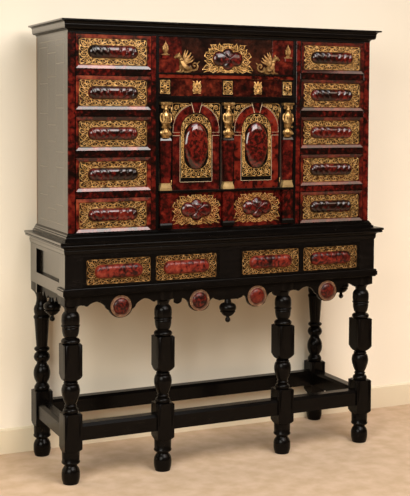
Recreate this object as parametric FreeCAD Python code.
import FreeCAD, Part
import math
import os

from FreeCAD import Vector

os.makedirs("parts", exist_ok=True)

# A tall cabinet of drawers on a six-legged turned stand, in millimetres.
# The origin is on the floor under the middle of the whole outline, +X to the right as one faces
# the drawers, -Y towards the viewer and +Z up.

# Driving sizes of the stand
leg_height = 738
post_width = 72
inner_leg_spacing = 551
outer_leg_inset = 1
front_leg_inset = 8
stretcher_height = 65
stretcher_thickness = 57
stretcher_chamfer = 11
frame_width = 1402
frame_depth = 467
frame_height = 162
frame_board = 24
corner_width = 74
front_corner_depth = 72
rear_corner_depth = 85
centre_stile_width = 90
waist_height = 32
waist_projection = 11
frame_top_rail_height = 12
frame_side_lower_rail = 47
frame_side_top_rail = 15
frame_panel_recess = 15
frame_panel_thickness = 12
frame_back_thickness = 12
drawer_runner_thickness = 8
frame_partition = 16
guide_width = 10
guide_height = 18
stand_top_height = 51
stand_top_front_overhang = 33
stand_top_side_overhang = 27
stand_top_board = 21
batten_width = 60
apron_drop = 95
apron_thickness = 14
side_apron_drop = 37
side_apron_inset = 14
roundel_centre_drop = 50
roundel_rim_radius = 44
roundel_dome_radius = 33
roundel_rim_proud = 5
roundel_dome_proud = 14
centre_roundel_spacing = 262
pendant_drop = 96
pendant_radius = 35

# Driving sizes of the case
case_width = 1362
case_height = 771
case_depth = 420
case_setback = 25
plinth_height = 29
plinth_projection = 18
bottom_board = 20
cornice_height = 49
cornice_front_projection = 39
cornice_side_projection = 35
dust_board = 10
side_thickness = 20
back_thickness = 12
back_boards = 3
facing_thickness = 6
facing_stile_width = 29
partition_thickness = 20
centre_wall_thickness = 13
drawer_rows = 5
side_drawer_opening = 314
divider_height = 24
divider_rail_depth = 40
dust_board_thickness = 8
head_strip = 4
top_board_thickness = 20
pilaster_stile_width = 56
middle_stile_width = 54
sill_height = 5
lower_drawer_opening = 140.5
shelf_thickness = 9.5
door_opening_height = 353
architrave_height = 24
frieze_drawer_opening = 71
ledge_height = 21
ledge_cap_height = 6
shelf_board = 10
inner_partition = 16

# Driving sizes of drawers and doors
running_clearance = 0.3
front_board = 16
drawer_wall = 8
drawer_floor = 6
drawer_end_gap = 8
frame_moulding_width = 16.5
frame_moulding_inner_height = 1.5
brass_thickness = 1.2
brass_clearance = 0.5
brass_margin = 0.5
boss_proud = 17
door_thickness = 16
door_gap = 1
hinge_gap = 2.5
hinge_radius = 2
hinge_length = 46
band_proud = 2
keystone_proud = 5

# Drawer fronts set in from the case front
side_front_recess = 7
centre_front_recess = 5
door_recess = 12
stand_drawer_recess = 2

# Widths and heights of the gilt mounts and the bosses that rise through them
side_mount_gap = 0.7
side_fret_width = (36, 23.5)
keyhole_size = (5, 11)
top_mount_width = 224
top_mount_head_gap = 22.5
top_mount_foot_width = 250
beast_size = (114, 89)
finial_size = (28, 55)
finial_block_size = (30, 18)
finial_block_proud = 8
finial_proud = 9
finial_head_gap = 14.7
frieze_mount_width = 42
frieze_mount_margin = 7.7
frieze_mounts = 5
lower_mount_margin = (2.7, 8)
door_mount_inset = 2.5
door_mount_head_gap = 4.5
door_mount_bottom = 48
door_fret_width = 12.5
door_fret_foot_height = 32
door_fret_head_height = 34
stand_mount_edge_gap = 13
stand_mount_middle_gap = 22
stand_mount_margin = 9.5
stand_fret_width = (33.5, 22)

# Pilasters and figures
pilaster_proud = 7
shaft_top_width = 48
shaft_bottom_width = 39
shaft_base_height = 30
shaft_base_width = 52
shaft_height = 168
cap_block_height = 12
pedestal_width = 54
pedestal_proud = 9
pedestal_base_height = 25
pedestal_base_proud = 12
figure_capital_height = 12
figure_width = 50
figure_depth = 20
door_arch_radius = 101
door_arch_rise = 242
door_arch_stilt = 10
door_band_width = 32
keystone_top_width = 46
keystone_bottom_width = 23

# Shares of the leg height taken by each stretch of a front leg, from the floor up
foot_height_share = 0.176
lower_block_share = 0.2
lower_turning_share = 0.17
upper_block_share = 0.199
upper_turning_share = 0.203

# Levels, from the floor up
foot_height = leg_height * foot_height_share
lower_block_height = leg_height * lower_block_share
lower_turning_height = leg_height * lower_turning_share
upper_block_height = leg_height * upper_block_share
upper_turning_height = leg_height * upper_turning_share
stretcher_bottom = foot_height + (lower_block_height - stretcher_height) / 2
frame_bottom = leg_height
frame_top = frame_bottom + frame_height
stand_top = frame_top + stand_top_height
case_bottom = stand_top + plinth_height
case_top = case_bottom + case_height
bank_top = case_top - head_strip
side_opening_height = (case_height - head_strip - (drawer_rows - 1) * divider_height) / drawer_rows
lower_drawer_bottom = case_bottom + sill_height
shelf_bottom = lower_drawer_bottom + lower_drawer_opening
door_bottom = shelf_bottom + shelf_thickness
door_top = door_bottom + door_opening_height
frieze_bottom = door_top + architrave_height
ledge_bottom = frieze_bottom + frieze_drawer_opening
ledge_top = ledge_bottom + ledge_height
lower_block_top = foot_height + lower_block_height
upper_block_bottom = lower_block_top + lower_turning_height
upper_block_top = upper_block_bottom + upper_block_height
post_bottom = upper_block_top + upper_turning_height
stand_drawer_bottom = frame_bottom + waist_height + 2 * running_clearance
stand_opening_top = frame_top - frame_top_rail_height

# Planes from front to back
frame_back = (frame_depth + stand_top_front_overhang) / 2
frame_front = frame_back - frame_depth
case_back = frame_back - case_setback
case_front = case_back - case_depth
facing_back = case_front + facing_thickness
back_front = case_back - back_thickness
front_leg_y = frame_front + front_leg_inset + post_width / 2
rear_leg_y = frame_back - post_width / 2
apron_front = frame_front + front_leg_inset
door_front = case_front + door_recess
drawer_back = back_front - drawer_end_gap

# Places across the width
frame_half = frame_width / 2
case_half = case_width / 2
outer_leg_x = frame_half - outer_leg_inset - post_width / 2
inner_leg_x = inner_leg_spacing / 2
stile_inner = case_half - facing_stile_width
partition_outer = stile_inner - side_drawer_opening
partition_inner = partition_outer - partition_thickness
centre_half = partition_inner - centre_wall_thickness
pilaster_stile_inner = centre_half - pilaster_stile_width
middle_half = middle_stile_width / 2
pilaster_x = centre_half - pilaster_stile_width / 2
side_column_x = (stile_inner + partition_outer) / 2
centre_bay_x = (pilaster_stile_inner + middle_half) / 2
stand_opening_inner = centre_stile_width / 2
stand_opening_outer = frame_half - corner_width

# Shares of height, radius and outward bow of the turned stretches, from the bottom up
foot_shares = [(0, 0.8, 0), (0.28, 1.0, 0.06), (0.53, 0.7, 0.1), (0.58, 0.7, 0),
               (0.67, 1.0, 0.04), (1, 1.0, 0)]
vase_shares = [(0, 0.76, 0), (0.15, 0.74, 0.1), (0.17, 0.58, 0), (0.2, 0.6, 0), (0.22, 0.66, 0),
               (0.25, 0.66, 0), (0.28, 0.56, 0), (0.64, 0.99, 0.05), (0.86, 0.9, 0.05),
               (0.915, 0.72, 0.03), (0.93, 0.76, 0), (0.97, 0.76, 0), (1, 0.64, 0)]
bulb_shares = [(0, 0.84, 0), (0.135, 0.84, 0.2), (0.15, 0.64, 0), (0.175, 0.66, 0), (0.19, 0.76, 0),
               (0.42, 0.94, 0.05),
               (0.45, 0.99, 0), (0.49, 0.99, 0.02), (0.51, 0.94, 0), (0.66, 0.98, 0.02),
               (0.84, 0.66, 0.1), (0.89, 0.66, 0), (1, 1.0, -0.06)]
rear_column_shares = [(0, 0.76, 0), (0.055, 0.76, 0.14), (0.075, 0.62, 0), (0.16, 0.97, 0.07),
                      (0.265, 0.6, 0.12), (0.285, 0.6, 0), (0.335, 0.94, 0.08), (0.385, 0.6, 0.08),
                      (0.405, 0.86, 0), (0.425, 0.86, 0.03), (0.44, 0.64, 0), (0.71, 0.86, 0),
                      (0.725, 0.93, 0), (0.745, 0.93, 0.03), (0.76, 0.8, 0), (0.8, 0.92, 0.03),
                      (0.86, 0.72, 0.07), (0.9, 0.62, 0), (0.93, 0.62, 0), (1, 1.0, -0.08)]
pendant_shares = [(0, 0.05, 0), (0.2, 0.2, 0.18), (0.25, 0.17, 0), (0.28, 0.38, 0), (0.44, 0.8, 0.06),
                  (0.45, 0.9, 0), (0.49, 0.9, 0), (0.5, 0.8, 0), (0.54, 0.92, 0), (0.62, 1.0, 0.02),
                  (0.8, 0.76, 0.08), (0.86, 0.44, 0), (1, 0.36, 0)]

# The same for the solids that cut the ends of the square blocks to shape
lower_block_shares = [(0, 0.98, 0), (0.08, 1.45, 0.05), (0.985, 1.45, 0), (1, 1.2, 0)]
upper_block_shares = [(0, 0.64, 0), (0.17, 1.45, 0.06), (0.985, 1.45, 0), (1, 1.2, 0)]

# Shares of projection and height of the mouldings, from the bottom up, with a bow per stretch
waist_shares = [(0, 0, 0), (0.55, 0, 0), (1, 0.2, -0.06), (1, 0.72, 0), (0.7, 0.8, 0), (0.5, 1, 0.06)]
stand_top_shares = [(0, 0, 0), (0.1, 0.06, 0), (0.2, 0.3, 0), (0.62, 0.58, -0.12), (0.78, 0.62, 0),
                    (0.8, 0.78, 0.05), (1, 0.84, 0), (1, 1, 0)]
plinth_shares = [(1, 0, 0), (1, 0.3, 0), (0.62, 0.62, -0.1), (0.45, 0.66, 0), (0, 1, 0.05)]
cornice_shares = [(0, 0, 0), (0.15, 0.22, -0.04), (0.2, 0.24, 0), (0.5, 0.38, 0.06), (0.55, 0.58, 0),
                  (0.9, 0.86, -0.1), (1, 0.88, 0), (1, 1, 0)]
moulding_tail_share = 0.6

# Shares of inset and rise of a cushion boss, from its foot to its top
boss_shares = [(0, 0), (0.1, 0.45), (0.32, 0.82), (0.62, 1)]
pulvinated_shares = [(0, 0), (0.14, 0.45), (0.4, 0.85), (0.7, 1)]

# Lobes of the bosses on the middle drawers: direction in degrees, offset from the middle, radius
boss_lobes = [(0, 37, 31), (90, 15, 24), (180, 37, 31), (270, 15, 26)]
lobed_shares = [(1, 0), (0.93, 0.45), (0.78, 0.82), (0.5, 1)]

# Shares of half width and drop of the aprons' lower edge, from the outer end to the middle
bay_apron_shares = [(1, 0.4, 0), (0.95, 0.38, 0), (0.86, 0.43, 0.02), (0.63, 0.27, -0.02),
                    (0.4, 0.5, -0.02), (0.3, 0.67, 0.02), (0, 1, 0.06)]
centre_apron_shares = [(1, 0.56, 0), (0.93, 0.6, 0.01), (0.87, 0.38, 0.02), (0.74, 0.62, -0.02),
                       (0.55, 0.98, 0.05), (0.36, 0.66, 0.05), (0.28, 0.47, -0.02), (0.2, 0.56, 0.01),
                       (0.15, 0.58, 0.01)]
side_apron_shares = [(1, 1, 0), (0.92, 1.05, 0.01), (0.8, 0.6, -0.02), (0.66, 1.25, 0.04), (0.5, 0.55, -0.03),
                     (0.33, 1.25, 0.05), (0.2, 0.8, -0.01), (0.12, 1, 0.01)]

# Outlines of gilt mounts, as shares of half width and half height of the right-hand half
plain_mount_shares = [(0, 1), (0.3, 0.97), (0.6, 1), (0.93, 1), (1, 0.9), (0.98, 0.4), (1, 0)]
cartouche_shares = [(0, 1), (0.3, 0.93), (0.62, 0.9), (0.68, 0.72), (0.95, 0.66), (1, 0.4), (0.96, 0)]
finial_shares = [(0.45, 0), (0.25, 0.12), (0.6, 0.3), (1, 0.45), (0.85, 0.62), (0.35, 0.75), (0.2, 0.9),
                 (0.05, 1)]
figure_shares = [(0, 0.55, 0), (0.12, 0.62, 0), (0.42, 0.95, 0.06), (0.62, 0.72, 0.04), (0.7, 0.95, 0),
                 (0.76, 0.5, 0.05), (0.8, 0.34, 0), (0.84, 0.5, 0), (0.95, 0.5, 0.1), (1, 0.4, 0)]
figure_arm_shares = [(0.62, 0.55), (1, 0.7), (1, 0.82), (0.55, 0.74)]
pedestal_body_share = 0.9
drawer_side_share = 0.88
beast_shares = [(-1, 0), (-0.75, 0.16), (-0.95, 0.5), (-0.7, 0.6), (-0.95, 0.8), (-0.55, 1), (-0.1, 0.95),
                (0, 0.55), (0.3, 0.9), (0.45, 0.6), (1, 0.55), (0.9, 0.3), (0.5, 0.2), (0.1, 0.25),
                (0, 0)]


def save(name, solids):
    Part.makeCompound(solids).exportStep("parts/" + name + ".step")


def block(x0, x1, y0, y1, z0, z1):
    low = Vector(min(x0, x1), min(y0, y1), min(z0, z1))
    return Part.makeBox(abs(x1 - x0), abs(y1 - y0), abs(z1 - z0), low)


def bowed_edge(start, end, bow, outward):
    # A straight edge, or an arc through the middle pushed out by the bow.
    if bow == 0:
        return Part.LineSegment(start, end).toShape()
    middle = (start + end) * 0.5 + outward * bow
    return Part.Arc(start, middle, end).toShape()


def turned(axis_x, axis_y, bottom, height, radius, shares):
    # A turned stretch about a vertical axis; each share row is height, radius and bow.
    points = []
    for height_share, radius_share, bow_share in shares:
        points.append(Vector(radius * radius_share, 0, bottom + height * height_share))
    edges = [Part.LineSegment(Vector(0, 0, bottom), points[0]).toShape()]
    for index in range(1, len(points)):
        start = points[index - 1]
        end = points[index]
        run = end - start
        outward = Vector(run.z, 0, -run.x).normalize()
        edges.append(bowed_edge(start, end, radius * shares[index][2], outward))
    edges.append(Part.LineSegment(points[-1], Vector(0, 0, bottom + height)).toShape())
    edges.append(Part.LineSegment(Vector(0, 0, bottom + height), Vector(0, 0, bottom)).toShape())
    solid = Part.Face(Part.Wire(edges)).revolve(Vector(0, 0, 0), Vector(0, 0, 1), 360)
    solid.translate(Vector(axis_x, axis_y, 0))
    return solid


def plate(points, front, back):
    # A flat plate whose outline is a list of (x, z), between two planes across Y.
    corners = [Vector(x, front, z) for x, z in points]
    face = Part.Face(Part.makePolygon(corners + corners[:1]))
    return face.extrude(Vector(0, back - front, 0))


def ruled(lower, upper):
    # A solid with flat sides between two rings of corners of equal count.
    faces = [Part.Face(Part.makePolygon(ring + ring[:1])) for ring in (lower, upper)]
    for index in range(len(lower)):
        following = (index + 1) % len(lower)
        side = [lower[index], lower[following], upper[following], upper[index], lower[index]]
        faces.append(Part.Face(Part.makePolygon(side)))
    shell = Part.Shell(faces)
    shell.sewShape()
    solid = Part.Solid(shell)
    if solid.Volume < 0:
        solid.reverse()
    return solid


def rounded_ring(centre_x, centre_z, half_width, half_height, y):
    # A closed outline with half-round ends on its longer side, standing across Y.
    radius = min(half_width, half_height)
    reach_x = half_width - radius
    reach_z = half_height - radius
    turn = math.pi / 2
    corners = []
    for sign_x, sign_z in ((1, 1), (-1, 1), (-1, -1), (1, -1)):
        corners.append((centre_x + sign_x * reach_x, centre_z + sign_z * reach_z))
    edges = []
    previous = None
    first = None
    for index, (x, z) in enumerate(corners):
        angles = [turn * index, turn * (index + 0.5), turn * (index + 1)]
        arc = [Vector(x + radius * math.cos(a), y, z + radius * math.sin(a)) for a in angles]
        if previous is not None and (arc[0] - previous).Length > radius * 1e-6:
            edges.append(Part.LineSegment(previous, arc[0]).toShape())
        edges.append(Part.Arc(*arc).toShape())
        previous = arc[2]
        first = first or arc[0]
    if (first - previous).Length > radius * 1e-6:
        edges.append(Part.LineSegment(previous, first).toShape())
    return Part.Wire(edges)


def cushion(centre_x, centre_z, size, base, proud, shares):
    # A boss that swells out of a flat ground towards the viewer.
    half_width, half_height = size[0] / 2, size[1] / 2
    least = min(half_width, half_height)
    rings = []
    for inset_share, rise_share in shares:
        inset = least * inset_share
        rings.append(rounded_ring(centre_x, centre_z, half_width - inset, half_height - inset,
                                  base - proud * rise_share))
    return Part.makeLoft(rings, True, True)


def boss_hole(centre_x, centre_z, size, front, back):
    half_width = size[0] / 2 + brass_clearance
    half_height = size[1] / 2 + brass_clearance
    ring = rounded_ring(centre_x, centre_z, half_width, half_height, front)
    return Part.Face(ring).extrude(Vector(0, back - front, 0))


def less(size, margins):
    # A width and height with a margin taken off at both ends of each.
    return (size[0] - 2 * margins[0], size[1] - 2 * margins[1])


def mirrored_outline(centre_x, centre_z, size, shares):
    # A closed outline from the shares of its upper right quarter.
    half_width, half_height = size[0] / 2, size[1] / 2
    quarter = [(x * half_width, z * half_height) for x, z in shares]
    right = quarter + [(x, -z) for x, z in reversed(quarter[:-1])]
    left = [(-x, z) for x, z in reversed(right[1:-1])]
    return [(centre_x + x, centre_z + z) for x, z in right + left]


def pierced_mount(centre_x, centre_z, size, shares, boss_size, ground):
    # A thin gilt plate on a ground, open where the boss comes through.
    front = ground - brass_thickness
    body = plate(mirrored_outline(centre_x, centre_z, size, shares), front, ground)
    return body.cut(boss_hole(centre_x, centre_z, boss_size, front, ground))


def lobe_reach(angle):
    # How far out the lobes go in one direction from the middle of the boss.
    reach = 0
    for direction, offset, radius in boss_lobes:
        turn = angle - math.radians(direction)
        room = radius ** 2 - (offset * math.sin(turn)) ** 2
        if room > 0:
            reach = max(reach, offset * math.cos(turn) + math.sqrt(room))
    return reach


def lobed_outline(centre_x, centre_z, scale, margin):
    steps = 48
    points = []
    for index in range(steps):
        angle = 2 * math.pi * index / steps
        reach = lobe_reach(angle) * scale + margin
        points.append((centre_x + reach * math.cos(angle), centre_z + reach * math.sin(angle)))
    return points


def lobed_boss(centre_x, centre_z, base, proud):
    rings = []
    for scale, rise_share in lobed_shares:
        y = base - proud * rise_share
        points = [Vector(x, y, z) for x, z in lobed_outline(centre_x, centre_z, scale, 0)]
        rings.append(Part.makePolygon(points + points[:1]))
    return Part.makeLoft(rings, True, True)


def cartouche_mount(centre_x, centre_z, size, ground):
    front = ground - brass_thickness
    body = plate(mirrored_outline(centre_x, centre_z, size, cartouche_shares), front, ground)
    return body.cut(plate(lobed_outline(centre_x, centre_z, 1, brass_clearance), front, ground))


def moulding_section(face, direction, projection, bottom, height, shares, tail, axis):
    # The section of a moulding on a vertical face, closed at the back by a straight tail.
    def place(out, up):
        across = face + direction * out
        return Vector(across, 0, up) if axis == "x" else Vector(0, across, up)

    points = [place(projection * out, bottom + height * up) for out, up, bow in shares]
    edges = []
    for index in range(1, len(points)):
        start = points[index - 1]
        end = points[index]
        run = end - start
        along = run.x if axis == "x" else run.y
        sideways = Vector(direction * run.z, 0, 0) if axis == "x" else Vector(0, direction * run.z, 0)
        outward = (sideways + Vector(0, 0, -direction * along)).normalize()
        edges.append(bowed_edge(start, end, height * shares[index][2], outward))
    top_back = place(-tail, bottom + height)
    low_back = place(-tail, bottom)
    closing = [points[-1], top_back, low_back, points[0]]
    for start, end in zip(closing[:-1], closing[1:]):
        if (end - start).Length > 0:
            edges.append(Part.LineSegment(start, end).toShape())
    return Part.Face(Part.Wire(edges))


def three_side_moulding(half, front, back, side_projection, front_projection, bottom, height, shares,
                        tail_share):
    # Front and side runs that meet in mitres at the two front corners.
    reach = half + side_projection
    side_tail = side_projection * tail_share
    front_tail = front_projection * tail_share
    section = moulding_section(front, -1, front_projection, bottom, height, shares, front_tail, "y")
    section.translate(Vector(-reach, 0, 0))
    front_run = section.extrude(Vector(2 * reach, 0, 0))
    runs = []
    for side in (-1, 1):
        face = moulding_section(side * half, side, side_projection, bottom, height, shares,
                                side_tail, "x")
        face.translate(Vector(0, front - front_projection, 0))
        runs.append(face.extrude(Vector(0, back - front + front_projection, 0)))
    # The mitre plane runs from the outer corner through the corner of the faces and on inwards.
    low = bottom - height
    high = bottom + 2 * height
    trimmed = []
    corner_reach = 1 + tail_share
    for side, run in zip((-1, 1), runs):
        outer = (side * (half + 2 * side_projection), front - 2 * front_projection)
        inner = (side * (half - corner_reach * side_projection), front + corner_reach * front_projection)
        far = (outer[0], inner[1])
        near = (inner[0], outer[1])
        front_wedge = prism([outer, inner, near], low, high)
        side_wedge = prism([outer, inner, far], low, high)
        trimmed.append(run.cut(front_wedge))
        front_run = front_run.cut(side_wedge)
    return [front_run] + trimmed


def prism(points, bottom, top):
    corners = [Vector(x, y, bottom) for x, y in points]
    face = Part.Face(Part.makePolygon(corners + corners[:1]))
    return face.extrude(Vector(0, 0, top - bottom))


def shouldered_block(axis_x, axis_y, bottom, height, shares):
    # A square block whose ends are cut back towards the turning beside it.
    half = post_width / 2
    body = block(axis_x - half, axis_x + half, axis_y - half, axis_y + half, bottom, bottom + height)
    return body.common(turned(axis_x, axis_y, bottom, height, half, shares))


def turned_leg(axis_x, axis_y, upper_stretches):
    # Foot, square block for the stretchers, turned stretches and the square post under the frame.
    half = post_width / 2
    pieces = [turned(axis_x, axis_y, 0, foot_height, half, foot_shares)]
    pieces.append(shouldered_block(axis_x, axis_y, foot_height, lower_block_height,
                                   lower_block_shares))
    for bottom, height, shares in upper_stretches:
        if shares is upper_block_shares:
            pieces.append(shouldered_block(axis_x, axis_y, bottom, height, shares))
        else:
            pieces.append(turned(axis_x, axis_y, bottom, height, half, shares))
    pieces.append(block(axis_x - half, axis_x + half, axis_y - half, axis_y + half, post_bottom,
                        leg_height))
    leg = pieces[0].fuse(pieces[1:])
    return leg.removeSplitter()


def build_legs():
    front_stretches = [(lower_block_top, lower_turning_height, vase_shares),
                       (upper_block_bottom, upper_block_height, upper_block_shares),
                       (upper_block_top, upper_turning_height, bulb_shares)]
    rear_stretches = [(lower_block_top, post_bottom - lower_block_top, rear_column_shares)]
    places = (-outer_leg_x, -inner_leg_x, inner_leg_x, outer_leg_x)
    for number, leg_x in enumerate(places, 1):
        save("front_leg_%d" % number, [turned_leg(leg_x, front_leg_y, front_stretches)])
    for name, side in (("left", -1), ("right", 1)):
        save("rear_leg_" + name, [turned_leg(side * outer_leg_x, rear_leg_y, rear_stretches)])


def stretcher_section(bevel):
    # Across and up, with the two upper edges taken off.
    half = stretcher_thickness / 2
    top = stretcher_bottom + stretcher_height
    return [(-half, stretcher_bottom), (half, stretcher_bottom), (half, top - bevel),
            (half - bevel, top), (-half + bevel, top), (-half, top - bevel)]


def stretcher_along_x(start, end, y):
    corners = [Vector(start, y + across, up) for across, up in stretcher_section(stretcher_chamfer)]
    face = Part.Face(Part.makePolygon(corners + corners[:1]))
    return face.extrude(Vector(end - start, 0, 0))


def stretcher_along_y(start, end, x):
    corners = [Vector(x + across, start, up) for across, up in stretcher_section(stretcher_chamfer)]
    face = Part.Face(Part.makePolygon(corners + corners[:1]))
    return face.extrude(Vector(0, end - start, 0))


def build_stretchers():
    half = post_width / 2
    places = (-outer_leg_x, -inner_leg_x, inner_leg_x, outer_leg_x)
    fronts = []
    for left, right in zip(places[:-1], places[1:]):
        fronts.append(stretcher_along_x(left + half, right - half, front_leg_y))
    save("front_stretchers", fronts)
    save("rear_stretcher", [stretcher_along_x(-outer_leg_x + half, outer_leg_x - half, rear_leg_y)])
    sides = []
    for side in (-1, 1):
        sides.append(stretcher_along_y(front_leg_y + half, rear_leg_y - half, side * outer_leg_x))
    save("side_stretchers", sides)


def build_stand_frame():
    front_inner = frame_front + frame_board
    runner_top = frame_bottom + waist_height
    runner_bottom = runner_top - drawer_runner_thickness
    back_inner = frame_back - frame_back_thickness
    recess_front = frame_front + front_corner_depth
    recess_back = frame_back - rear_corner_depth
    post_inner = frame_half - corner_width
    panel_bottom = frame_bottom + frame_side_lower_rail
    panel_top = frame_top - frame_side_top_rail
    half_partition = frame_partition / 2
    half_post = post_width / 2
    solids = [block(-post_inner, post_inner, frame_front, front_inner, frame_bottom, runner_top),
              block(-post_inner, post_inner, frame_front, front_inner, stand_opening_top, frame_top),
              block(-stand_opening_inner, stand_opening_inner, frame_front, front_inner, runner_top,
                    stand_opening_top),
              block(-post_inner, post_inner, back_inner, frame_back, frame_bottom, frame_top),
              block(-half_partition, half_partition, front_inner, back_inner, runner_bottom,
                    frame_top)]
    for side in (-1, 1):
        outer = side * frame_half
        inner = side * post_inner
        rail_inner = side * (frame_half - frame_board)
        panel_outer = side * (frame_half - frame_panel_recess)
        panel_inner = side * (frame_half - frame_panel_recess - frame_panel_thickness)
        solids.append(block(outer, inner, frame_front, recess_front, frame_bottom, frame_top))
        solids.append(block(outer, inner, recess_back, frame_back, frame_bottom, frame_top))
        # The rear corner reaches down in front of the leg's square post.
        solids.append(block(side * (outer_leg_x + half_post), side * (outer_leg_x - half_post), recess_back,
                            rear_leg_y - half_post, post_bottom, frame_bottom))
        solids.append(block(outer, rail_inner, recess_front, recess_back, frame_bottom, panel_bottom))
        solids.append(block(outer, rail_inner, recess_front, recess_back, panel_top, frame_top))
        solids.append(block(panel_outer, panel_inner, recess_front, recess_back, panel_bottom,
                            panel_top))
        solids.append(block(side * half_partition, inner, front_inner, back_inner, runner_bottom,
                            runner_top))
        guide_bottom = runner_top
        solids.append(block(side * (stand_opening_inner - guide_width), side * stand_opening_inner,
                            front_inner, back_inner, guide_bottom, guide_bottom + guide_height))
        solids.append(block(inner, side * (post_inner + guide_width), recess_front, recess_back,
                            guide_bottom, guide_bottom + guide_height))
    save("stand_frame", solids)


def build_stand_top():
    mouldings = three_side_moulding(frame_half, frame_front, frame_back, stand_top_side_overhang,
                                    stand_top_front_overhang, frame_top, stand_top_height,
                                    stand_top_shares, moulding_tail_share)
    inner_half = frame_half - stand_top_side_overhang * moulding_tail_share
    inner_front = frame_front + stand_top_front_overhang * moulding_tail_share
    board_bottom = stand_top - stand_top_board
    solids = mouldings + [block(-inner_half, inner_half, inner_front, frame_back, board_bottom,
                                stand_top)]
    half_batten = batten_width / 2
    rear_rail_front = frame_back - frame_back_thickness
    solids.append(block(-inner_half, inner_half, rear_rail_front, frame_back, frame_top, board_bottom))
    for batten_x in (-inner_half + half_batten, 0, inner_half - half_batten):
        solids.append(block(batten_x - half_batten, batten_x + half_batten, inner_front,
                            rear_rail_front, frame_top, board_bottom))
    save("stand_top", solids)
    # The waist moulding returns only over the two front corners.
    save("waist_moulding", three_side_moulding(frame_half, frame_front, frame_front + front_corner_depth,
                                               waist_projection, waist_projection, frame_bottom,
                                               waist_height, waist_shares, 0))


def apron_board(half_length, drop, shares):
    # A board with a flat top and a cut-out lower edge, about its own middle; each share row is
    # distance from the middle, drop and outward bow of the stretch that ends there.
    right = [(half_length * along, -drop * down, half_length * bow) for along, down, bow in shares]
    edges = []
    for side in (1, -1):
        corners = [Vector(side * x, 0, z) for x, z, bow in right]
        for index in range(1, len(corners)):
            run = corners[index] - corners[index - 1]
            outward = Vector(-side * run.z, 0, side * run.x).normalize()
            edges.append(bowed_edge(corners[index - 1], corners[index], right[index][2], outward))
    first = Vector(right[0][0], 0, right[0][1])
    last = Vector(right[-1][0], 0, right[-1][1])
    closing = [(Vector(-first.x, 0, first.z), Vector(-first.x, 0, 0)), (Vector(-first.x, 0, 0),
               Vector(first.x, 0, 0)), (Vector(first.x, 0, 0), first)]
    if last.x > 0:
        closing.append((last, Vector(-last.x, 0, last.z)))
    for start, end in closing:
        edges.append(Part.LineSegment(start, end).toShape())
    outline = Part.Wire(Part.__sortEdges__(edges))
    return Part.Face(outline).extrude(Vector(0, apron_thickness, 0))


def build_aprons():
    half = post_width / 2
    bay_half = (outer_leg_x - inner_leg_x - post_width) / 2
    bay_x = (outer_leg_x + inner_leg_x) / 2
    centre_half_length = inner_leg_x - half
    boards = []
    for side in (-1, 1):
        bay = apron_board(bay_half, apron_drop, bay_apron_shares)
        bay.translate(Vector(side * bay_x, apron_front, frame_bottom))
        boards.append(bay)
    centre = apron_board(centre_half_length, apron_drop, centre_apron_shares)
    centre.translate(Vector(0, apron_front, frame_bottom))
    boards.append(centre)
    side_front = front_leg_y + half
    side_back = frame_back - rear_corner_depth
    side_half = (side_back - side_front) / 2
    side_y = (side_front + side_back) / 2
    side_x = frame_half - side_apron_inset - apron_thickness / 2
    for side in (-1, 1):
        board = apron_board(side_half, side_apron_drop, side_apron_shares)
        board.translate(Vector(0, -apron_thickness / 2, 0))
        board.rotate(Vector(0, 0, 0), Vector(0, 0, 1), 90)
        board.translate(Vector(side * side_x, side_y, frame_bottom))
        boards.append(board)
    save("aprons", boards)
    # Turned drops under the lowest points in the middle of the front and of each side.
    centre_low = frame_bottom - apron_drop * centre_apron_shares[-1][1]
    side_low = frame_bottom - side_apron_drop
    drops = [turned(0, apron_front + apron_thickness / 2, centre_low - pendant_drop, pendant_drop,
                    pendant_radius, pendant_shares)]
    for side in (-1, 1):
        drops.append(turned(side * side_x, side_y, side_low - pendant_drop, pendant_drop,
                            pendant_radius, pendant_shares))
    save("drop_pendants", drops)
    roundel_z = frame_bottom - roundel_centre_drop
    places = (-bay_x, -centre_roundel_spacing / 2, centre_roundel_spacing / 2, bay_x)
    rims = []
    domes = []
    for place in places:
        rim_size = (2 * roundel_rim_radius, 2 * roundel_rim_radius)
        dome_size = (2 * roundel_dome_radius, 2 * roundel_dome_radius)
        disc = Part.makeCylinder(roundel_rim_radius, roundel_rim_proud,
                                 Vector(place, apron_front, roundel_z), Vector(0, -1, 0))
        hole = Part.makeCylinder(roundel_dome_radius + brass_clearance, roundel_rim_proud,
                                 Vector(place, apron_front, roundel_z), Vector(0, -1, 0))
        rims.append(disc.cut(hole))
        domes.append(cushion(place, roundel_z, dome_size, apron_front, roundel_dome_proud, boss_shares))
    save("roundel_rims", rims)
    save("roundel_bosses", domes)


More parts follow.
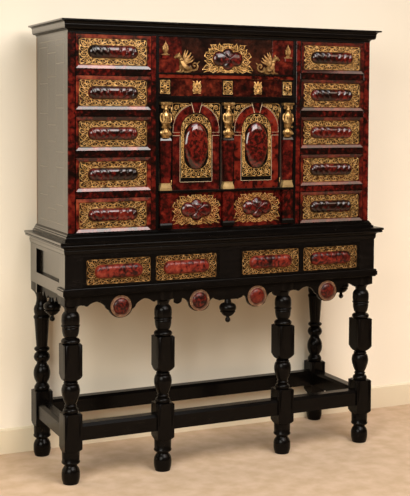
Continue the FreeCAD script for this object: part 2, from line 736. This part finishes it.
def build_case():
    plinth_tail = plinth_projection * moulding_tail_share
    mouldings = three_side_moulding(case_half, case_front, case_back, plinth_projection,
                                    plinth_projection, stand_top, plinth_height, plinth_shares,
                                    moulding_tail_share)
    board = block(-case_half + plinth_tail, case_half - plinth_tail, case_front + plinth_tail, case_back,
                  case_bottom - bottom_board, case_bottom)
    save("cabinet_base", mouldings + [board])
    panels = []
    for side in (-1, 1):
        panels.append(block(side * case_half, side * (case_half - side_thickness), facing_back,
                            back_front, case_bottom, case_top))
    save("cabinet_sides", panels)
    board_width = case_width / back_boards
    boards = []
    for index in range(back_boards):
        left = -case_half + index * board_width
        boards.append(block(left, left + board_width, back_front, case_back, case_bottom, case_top))
    save("cabinet_back", boards)
    cornice = three_side_moulding(case_half, case_front, case_back, cornice_side_projection,
                                  cornice_front_projection, case_top, cornice_height, cornice_shares,
                                  moulding_tail_share)
    inner_half = case_half - cornice_side_projection * moulding_tail_share
    inner_front = case_front + cornice_front_projection * moulding_tail_share
    cornice_top = case_top + cornice_height
    board_bottom = cornice_top - dust_board
    cornice.append(block(-inner_half, inner_half, inner_front, case_back, board_bottom, cornice_top))
    cornice.append(block(-inner_half, inner_half, back_front, case_back, case_top, board_bottom))
    save("cornice", cornice)


def build_carcase():
    # Upright boards, rails and dust boards that the drawers run on.
    top_half = case_half - cornice_side_projection * moulding_tail_share
    top_front = case_front + cornice_front_projection * moulding_tail_share
    rail_half = case_half - side_thickness
    solids = [block(-top_half, top_half, top_front, back_front, case_top, case_top + top_board_thickness),
              block(-rail_half, rail_half, facing_back, back_front, bank_top, case_top)]
    rail_back = facing_back + divider_rail_depth
    for side in (-1, 1):
        lining = side * (case_half - side_thickness)
        solids.append(block(side * stile_inner, lining, facing_back, back_front, case_bottom, bank_top))
        solids.append(block(side * partition_outer, side * partition_inner, facing_back, back_front,
                            case_bottom, bank_top))
        solids.append(block(side * partition_inner, side * centre_half, facing_back, back_front,
                            case_bottom, bank_top))
        for row in range(1, drawer_rows):
            top = case_bottom + row * (side_opening_height + divider_height)
            low = top - divider_height
            solids.append(block(side * partition_outer, side * stile_inner, facing_back, rail_back, low,
                                top))
            solids.append(block(side * partition_outer, side * stile_inner, rail_back, back_front,
                                top - dust_board_thickness, top))
    half_inner = inner_partition / 2
    centre_front = case_front + centre_front_recess
    stile_back = door_front + door_thickness
    solids.append(block(-centre_half, centre_half, facing_back, back_front, case_bottom,
                        lower_drawer_bottom))
    solids.append(block(-half_inner, half_inner, stile_back, back_front, lower_drawer_bottom,
                        shelf_bottom))
    solids.append(block(-centre_half, centre_half, facing_back, back_front, shelf_bottom, door_bottom))
    solids.append(block(-half_inner, half_inner, stile_back, back_front, door_bottom, door_top))
    for low, top in ((door_top, frieze_bottom), (ledge_bottom, ledge_top)):
        solids.append(block(-centre_half, centre_half, facing_back, rail_back, low, top))
        solids.append(block(-centre_half, centre_half, rail_back, back_front, top - shelf_board, top))
    # Stiles behind the three pilasters and their pedestals.
    for left, right in ((-centre_half, -pilaster_stile_inner), (-middle_half, middle_half),
                        (pilaster_stile_inner, centre_half)):
        for low, top in ((lower_drawer_bottom, shelf_bottom), (door_bottom, door_top)):
            solids.append(block(left, right, door_front, stile_back, low, top))
    save("partitions_and_dividers", solids)


def build_facings():
    # Veneered strips on the front edges of the case and the mouldings of the centre part.
    solids = [block(-stile_inner, stile_inner, case_front, facing_back, bank_top, case_top)]
    for side in (-1, 1):
        solids.append(block(side * stile_inner, side * case_half, case_front, facing_back, case_bottom,
                            case_top))
        solids.append(block(side * partition_inner, side * partition_outer, case_front, facing_back,
                            case_bottom, bank_top))
        solids.append(block(side * centre_half, side * partition_inner, case_front, facing_back,
                            case_bottom, bank_top))
        for row in range(1, drawer_rows):
            top = case_bottom + row * (side_opening_height + divider_height)
            solids.append(block(side * partition_outer, side * stile_inner, case_front, facing_back,
                                top - divider_height, top))
    solids.append(block(-centre_half, centre_half, case_front, facing_back, case_bottom,
                        lower_drawer_bottom))
    shelf_front = case_front - pedestal_base_proud
    solids.append(block(-centre_half, centre_half, shelf_front, facing_back, shelf_bottom, door_bottom))
    cap_bottom = ledge_top - ledge_cap_height
    solids.append(block(-centre_half, centre_half, case_front - band_proud, facing_back, ledge_bottom,
                        cap_bottom))
    solids.append(block(-centre_half, centre_half, case_front - pilaster_proud, facing_back, cap_bottom,
                        ledge_top))
    solids.append(block(-centre_half, centre_half, case_front - pilaster_proud, facing_back, door_top,
                        frieze_bottom))
    save("front_facings", solids)


def tapered_shaft(centre_x, bottom, height, low_width, high_width, front, back):
    rings = []
    for level, width in ((bottom, low_width), (bottom + height, high_width)):
        half = width / 2
        rings.append([Vector(centre_x - half, front, level), Vector(centre_x + half, front, level),
                      Vector(centre_x + half, back, level), Vector(centre_x - half, back, level)])
    return ruled(rings[0], rings[1])


def build_pilasters():
    woods = []
    brasses = []
    shaft_front = case_front - pilaster_proud
    pedestal_front = case_front - pedestal_proud
    pedestal_foot_front = case_front - pedestal_base_proud
    shaft_bottom = door_bottom + shaft_base_height
    shaft_top = shaft_bottom + shaft_height
    block_top = shaft_top + cap_block_height
    figure_top = door_top - figure_capital_height
    half_figure = figure_width / 2
    for place in (-pilaster_x, 0, pilaster_x):
        foot_half = pedestal_width / 2
        foot_top = case_bottom + pedestal_base_height
        woods.append(block(place - foot_half, place + foot_half, pedestal_foot_front, door_front,
                           lower_drawer_bottom, foot_top))
        body_half = foot_half * pedestal_body_share
        woods.append(block(place - body_half, place + body_half, pedestal_front, door_front, foot_top,
                           shelf_bottom))
        woods.append(tapered_shaft(place, shaft_bottom, shaft_height, shaft_bottom_width,
                                   shaft_top_width, shaft_front, door_front))
        woods.append(block(place - half_figure, place + half_figure, shaft_front, door_front, shaft_top,
                           block_top))
        backing_half = half_figure * pedestal_body_share
        backing_front = shaft_front + figure_depth / 2
        woods.append(block(place - backing_half, place + backing_half, backing_front, door_front,
                           block_top, figure_top))
        brasses.append(tapered_shaft(place, door_bottom, shaft_base_height, shaft_base_width,
                                     shaft_bottom_width, shaft_front, door_front))
        brasses.append(block(place - half_figure, place + half_figure, shaft_front, door_front,
                             figure_top, door_top))
        brasses.append(term_figure(place, block_top, figure_top - block_top, backing_front))
    save("pilasters", woods)
    save("pilaster_figures", brasses)


def term_figure(place, bottom, height, back):
    # A half-round bust on a tapering sheath, with folded arms as small volutes.
    radius = figure_width / 2
    body = turned(place, back, bottom, height, radius, figure_shares)
    for side in (-1, 1):
        points = [(place + side * radius * x, bottom + height * z) for x, z in figure_arm_shares]
        body = body.fuse(plate(points, back - figure_depth / 2, back))
    keep = block(place - radius, place + radius, back - figure_depth, back, bottom, bottom + height)
    return body.common(keep)


def frame_moulding(left, right, bottom, top, ground, outer_front):
    # Four mitred lengths round a drawer front; the outer edge stands proud of the inner one.
    inset = frame_moulding_width
    inner_front = ground - frame_moulding_inner_height
    outer = [(left, bottom), (right, bottom), (right, top), (left, top)]
    inner = [(left + inset, bottom + inset), (right - inset, bottom + inset),
             (right - inset, top - inset), (left + inset, top - inset)]
    lengths = []
    for index in range(4):
        following = (index + 1) % 4
        rings = []
        for corner in (index, following):
            (outer_x, outer_z), (inner_x, inner_z) = outer[corner], inner[corner]
            rings.append([Vector(outer_x, ground, outer_z), Vector(outer_x, outer_front, outer_z),
                          Vector(inner_x, inner_front, inner_z), Vector(inner_x, ground, inner_z)])
        lengths.append(ruled(rings[0], rings[1]))
    return lengths


def drawer_box(left, right, bottom, top, ground, back):
    # Front board, two sides, back and floor.
    wall_front = ground + front_board
    side_top = bottom + (top - bottom) * drawer_side_share
    floor_top = bottom + drawer_floor
    return [block(left, right, ground, wall_front, bottom, top),
            block(left, left + drawer_wall, wall_front, back, bottom, side_top),
            block(right - drawer_wall, right, wall_front, back, bottom, side_top),
            block(left + drawer_wall, right - drawer_wall, back - drawer_wall, back, bottom, side_top),
            block(left + drawer_wall, right - drawer_wall, wall_front, back - drawer_wall, bottom,
                  floor_top)]


def build_side_drawers():
    ground = case_front + side_front_recess
    half = side_drawer_opening / 2 - running_clearance
    for side_name, side in (("left", -1), ("right", 1)):
        centre_x = side * side_column_x
        for row in range(drawer_rows):
            opening_bottom = case_bottom + row * (side_opening_height + divider_height)
            bottom = opening_bottom + running_clearance
            top = opening_bottom + side_opening_height - running_clearance
            centre_z = (bottom + top) / 2
            frame_margin = frame_moulding_width + side_mount_gap
            mount_size = less((2 * half, top - bottom), (frame_margin, frame_margin))
            boss_size = less(mount_size, side_fret_width)
            name = "%s_drawer_%d" % (side_name, row + 1)
            solids = drawer_box(centre_x - half, centre_x + half, bottom, top, ground, drawer_back)
            solids += frame_moulding(centre_x - half, centre_x + half, bottom, top, ground, case_front)
            solids.append(cushion(centre_x, centre_z, boss_size, ground, boss_proud, boss_shares))
            save(name, solids)
            mount = pierced_mount(centre_x, centre_z, mount_size, plain_mount_shares, boss_size, ground)
            key_bottom = centre_z + boss_size[1] / 2 + brass_clearance + brass_thickness
            key_half = keyhole_size[0] / 2
            slot = block(centre_x - key_half, centre_x + key_half, ground - brass_thickness, ground,
                         key_bottom, key_bottom + keyhole_size[1])
            save(name + "_mount", [mount.cut(slot)])


def build_top_drawer():
    ground = case_front + centre_front_recess
    bottom = ledge_top + running_clearance
    top = bank_top - running_clearance
    half = centre_half - running_clearance
    mount_size = (top_mount_width, top - bottom - brass_margin - top_mount_head_gap)
    centre_z = bottom + brass_margin + mount_size[1] / 2
    solids = drawer_box(-half, half, bottom, top, ground, drawer_back)
    solids.append(lobed_boss(0, centre_z, ground, boss_proud))
    save("top_drawer", solids)
    front = ground - brass_thickness
    mounts = [cartouche_mount(0, centre_z, mount_size, ground)]
    beast_half = beast_size[0] / 2
    beast_x = top_mount_foot_width / 2 + beast_half
    beast_bottom = bottom + brass_margin
    for side in (-1, 1):
        points = [(side * (beast_x - beast_half * x), beast_bottom + beast_size[1] * z)
                  for x, z in beast_shares]
        mounts.append(plate(points, front, ground))
        block_half = finial_block_size[0] / 2
        block_bottom = top - finial_head_gap - finial_size[1] - finial_block_size[1]
        place = side * pilaster_x
        mounts.append(block(place - block_half, place + block_half, ground - finial_block_proud, ground,
                            block_bottom, block_bottom + finial_block_size[1]))
        flame_bottom = block_bottom + finial_block_size[1]
        flame_half = finial_size[0] / 2
        flame = [(place + flame_half * x, flame_bottom + finial_size[1] * z) for x, z in finial_shares]
        flame += [(place - flame_half * x, flame_bottom + finial_size[1] * z)
                  for x, z in reversed(finial_shares)]
        mounts.append(plate(flame, ground - finial_proud, ground))
    save("top_drawer_mounts", mounts)


def build_frieze_drawer():
    ground = case_front + centre_front_recess
    bottom = frieze_bottom + running_clearance
    top = ledge_bottom - running_clearance
    half = centre_half - running_clearance
    save("frieze_drawer", drawer_box(-half, half, bottom, top, ground, drawer_back))
    centre_z = (bottom + top) / 2
    front = ground - brass_thickness
    mount_size = (frieze_mount_width, top - bottom - 2 * frieze_mount_margin)
    mounts = []
    for index in range(frieze_mounts):
        place = pilaster_x * (2 * index / (frieze_mounts - 1) - 1)
        outline = mirrored_outline(place, centre_z, mount_size, plain_mount_shares)
        mounts.append(plate(outline, front, ground))
    save("frieze_drawer_mounts", mounts)


def build_lower_drawers():
    ground = case_front + centre_front_recess
    bottom = lower_drawer_bottom + running_clearance
    top = shelf_bottom - running_clearance
    centre_z = (bottom + top) / 2
    half = (pilaster_stile_inner - middle_half) / 2 - running_clearance
    mount_size = less((2 * half, top - bottom), lower_mount_margin)
    for side_name, side in (("left", -1), ("right", 1)):
        centre_x = side * centre_bay_x
        solids = drawer_box(centre_x - half, centre_x + half, bottom, top, ground, drawer_back)
        solids.append(lobed_boss(centre_x, centre_z, ground, boss_proud))
        save("lower_drawer_" + side_name, solids)
        mount = cartouche_mount(centre_x, centre_z, mount_size, ground)
        save("lower_drawer_%s_mount" % side_name, [mount])


def arch_points(centre_x, radius, spring, count):
    points = []
    for index in range(count + 1):
        angle = math.pi * index / count
        points.append((centre_x + radius * math.cos(angle), spring + radius * math.sin(angle)))
    return points


def build_doors():
    arch_steps = 16
    back = door_front + door_thickness
    bottom = door_bottom + running_clearance
    top = door_top - running_clearance
    spring = door_bottom + door_arch_rise
    band_inner_radius = door_arch_radius - door_band_width
    mount_half = band_inner_radius - door_mount_inset
    mount_bottom = door_bottom + door_mount_bottom
    mount_spring = spring + door_mount_inset - door_mount_head_gap
    boss_bottom = mount_bottom + door_fret_foot_height
    boss_top = mount_spring + mount_half - door_fret_head_height
    boss_size = (2 * (mount_half - door_fret_width), boss_top - boss_bottom)
    boss_z = (boss_bottom + boss_top) / 2
    for side_name, side in (("left", -1), ("right", 1)):
        outer = side * (pilaster_stile_inner - hinge_gap)
        inner = side * (middle_half + door_gap)
        centre_x = side * centre_bay_x
        leaf = block(outer, inner, door_front, back, bottom, top)
        foot = spring - door_arch_stilt
        band = [(centre_x + door_arch_radius, foot)]
        band += arch_points(centre_x, door_arch_radius, spring, arch_steps)
        band += [(centre_x - door_arch_radius, foot), (centre_x - band_inner_radius, foot)]
        band += reversed(arch_points(centre_x, band_inner_radius, spring, arch_steps))
        band.append((centre_x + band_inner_radius, foot))
        arch = plate(band, door_front - band_proud, door_front)
        key_top = top - brass_margin
        key_low = spring + band_inner_radius
        half_top = keystone_top_width / 2
        half_low = keystone_bottom_width / 2
        key = [(centre_x - half_low, key_low), (centre_x + half_low, key_low),
               (centre_x + half_top, key_top), (centre_x - half_top, key_top)]
        keystone = plate(key, door_front - keystone_proud, door_front)
        boss = cushion(centre_x, boss_z, boss_size, door_front, boss_proud, boss_shares)
        save("door_" + side_name, [leaf, arch.cut(keystone), keystone, boss])
        outline = arch_points(centre_x, mount_half, mount_spring, arch_steps)
        outline += [(centre_x - mount_half, mount_bottom), (centre_x + mount_half, mount_bottom)]
        front = door_front - brass_thickness
        mount = plate(outline, front, door_front)
        mount = mount.cut(boss_hole(centre_x, boss_z, boss_size, front, door_front))
        barrels = []
        pin_x = side * (pilaster_stile_inner - hinge_radius)
        for level in (bottom + hinge_length, top - 2 * hinge_length):
            barrels.append(Part.makeCylinder(hinge_radius, hinge_length,
                                             Vector(pin_x, door_front - hinge_radius, level)))
        save("door_%s_mounts" % side_name, [mount] + barrels)


def build_stand_drawers():
    ground = frame_front + stand_drawer_recess
    bottom = stand_drawer_bottom
    top = stand_opening_top - running_clearance
    back = frame_back - frame_back_thickness - drawer_end_gap
    centre_z = (bottom + top) / 2
    left_edge = stand_opening_inner + running_clearance
    right_edge = stand_opening_outer - running_clearance
    mounted_width = right_edge - left_edge - 2 * stand_mount_edge_gap
    mount_size = ((mounted_width - stand_mount_middle_gap) / 2, top - bottom - 2 * stand_mount_margin)
    boss_size = less(mount_size, stand_fret_width)
    for side_name, side in (("left", -1), ("right", 1)):
        low_x = min(side * left_edge, side * right_edge)
        high_x = max(side * left_edge, side * right_edge)
        solids = drawer_box(low_x, high_x, bottom, top, ground, back)
        mounts = []
        for edge in (low_x + stand_mount_edge_gap, high_x - stand_mount_edge_gap - mount_size[0]):
            place = edge + mount_size[0] / 2
            solids.append(cushion(place, centre_z, boss_size, ground, boss_proud, pulvinated_shares))
            mounts.append(pierced_mount(place, centre_z, mount_size, plain_mount_shares, boss_size,
                                        ground))
        save("stand_drawer_" + side_name, solids)
        save("stand_drawer_%s_mounts" % side_name, mounts)


build_legs()
build_stretchers()
build_stand_frame()
build_stand_top()
build_aprons()
build_case()
build_carcase()
build_facings()
build_pilasters()
build_side_drawers()
build_top_drawer()
build_frieze_drawer()
build_lower_drawers()
build_doors()
build_stand_drawers()
print(len(os.listdir("parts")), "sub-parts written")
